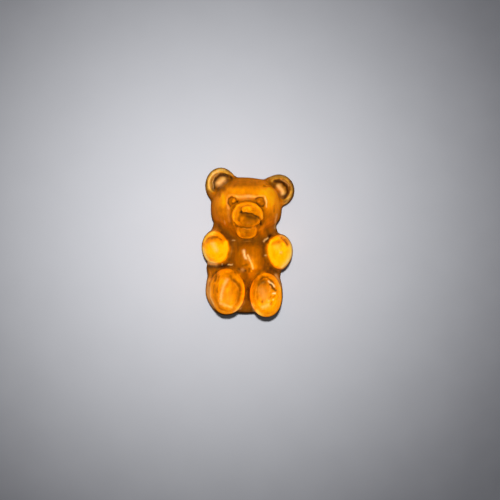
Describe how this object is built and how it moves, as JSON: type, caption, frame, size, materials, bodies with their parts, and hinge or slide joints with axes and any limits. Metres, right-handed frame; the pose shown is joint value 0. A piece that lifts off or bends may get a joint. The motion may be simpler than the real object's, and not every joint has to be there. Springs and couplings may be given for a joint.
{
  "type": "gummy bear",
  "caption": "Moulded translucent orange gummy bear with round ears, raised muzzle, stub paws, dished soles and a flat back it lies on.",
  "frame": {"origin": "on the flat back, under the middle of the bear's bounding box", "axes": "+X to the right as seen when looking down at the face, +Y along the bear to the top of the head, +Z out of the flat back, up through the face"},
  "size_m": [0.0134, 0.0218, 0.0096],
  "materials": {
    "orange_gum": "smooth, slightly oily, translucent fruit gum"
  },
  "bodies": {
    "root": {"gummy_bear": "orange_gum"}
  },
  "joints": []
}
